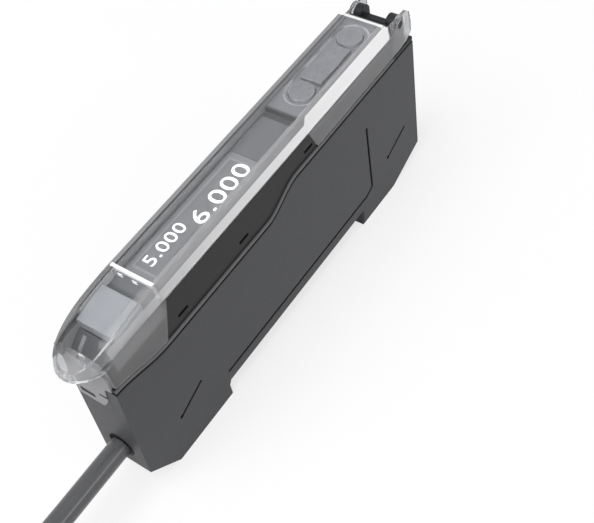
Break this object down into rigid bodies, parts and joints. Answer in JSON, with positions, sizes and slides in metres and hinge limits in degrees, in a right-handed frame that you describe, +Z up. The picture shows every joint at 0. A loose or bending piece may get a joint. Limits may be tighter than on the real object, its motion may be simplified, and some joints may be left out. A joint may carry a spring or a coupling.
{
  "type": "displacement sensor amplifier unit",
  "caption": "Slim rail-mounted amplifier with a display for a contact displacement sensor, with push keys, a hinged clear cover and a lead in a tied hank.",
  "frame": {"origin": "under the middle of the housing, on the plane of its two feet", "axes": "+X runs along the housing from the front face, where the lead leaves, to the cover's hinge; +Y across its narrow width; +Z up to the display"},
  "size_m": [0.1838, 0.0288, 0.032],
  "materials": {
    "case_plastic": "fine moulded texture",
    "frame_plastic": "fine moulded texture",
    "socket_plastic": "satin",
    "clear_plastic": "polished clear plastic",
    "window_plastic": "polished, tinted",
    "lens_plastic": "translucent, frosted",
    "display_black": "satin",
    "key_plastic": "satin",
    "board_green": "lacquered",
    "chip_black": "moulded",
    "terminal_white": "moulded",
    "pin_metal": "bright",
    "can_metal": "satin",
    "switch_metal": "satin",
    "led_white": "milky",
    "jacket_grey": "satin",
    "grommet_black": "matt",
    "tie_black": "satin",
    "wire_brown": "satin",
    "wire_blue": "satin",
    "wire_black": "satin",
    "wire_white": "satin"
  },
  "bodies": {
    "housing": {"case": "case_plastic", "top_frame": "frame_plastic", "light_guide": "lens_plastic", "head_socket": "socket_plastic", "socket_pin_1": "pin_metal", "socket_pin_2": "pin_metal", "socket_pin_3": "pin_metal", "socket_pin_4": "pin_metal", "display_window": "window_plastic", "display_module": "display_black", "display_board": "board_green", "board_header": "chip_black", "main_board": "board_green", "processor_chip": "chip_black", "output_driver": "chip_black", "supply_capacitor": "can_metal", "wire_terminal": "terminal_white", "inner_wire_1": "wire_brown", "inner_wire_2": "wire_blue", "inner_wire_3": "wire_black", "inner_wire_4": "wire_white", "indicator_lens": "lens_plastic", "indicator_led_1": "led_white", "indicator_led_2": "led_white", "key_switch_1": "switch_metal", "key_switch_2": "switch_metal", "key_switch_3": "switch_metal", "key_switch_4": "switch_metal", "cable_grommet": "grommet_black", "cable": "jacket_grey", "cable_coil": "jacket_grey", "coil_tie_1": "tie_black", "coil_tie_2": "tie_black", "lead_end_1": "wire_brown", "lead_end_2": "wire_blue", "lead_end_3": "wire_black", "lead_end_4": "wire_white"},
    "cover": {"clear_cover": "clear_plastic"},
    "set_key": {"set_button": "key_plastic"},
    "mode_key": {"mode_button": "key_plastic"},
    "rocker": {"rocker_key": "key_plastic"}
  },
  "joints": [
    {"name": "cover_hinge", "type": "hinge", "parent": "housing", "child": "cover", "pos_m": [0.033, 0, 0.0294], "axis": [0, 1, 0], "range_deg": [0, 110]},
    {"name": "set_press", "type": "slide", "parent": "housing", "child": "set_key", "axis": [0, 0, -1], "range_m": [0, 0.0003], "stiffness_N_per_m": 2000},
    {"name": "mode_press", "type": "slide", "parent": "housing", "child": "mode_key", "axis": [0, 0, -1], "range_m": [0, 0.0003], "stiffness_N_per_m": 2000},
    {"name": "rocker_tilt", "type": "hinge", "parent": "housing", "child": "rocker", "pos_m": [0.0199, 0, 0.02905], "axis": [0, 1, 0], "range_deg": [-2.5, 2.5], "stiffness_Nm_per_rad": 0.05}
  ]
}
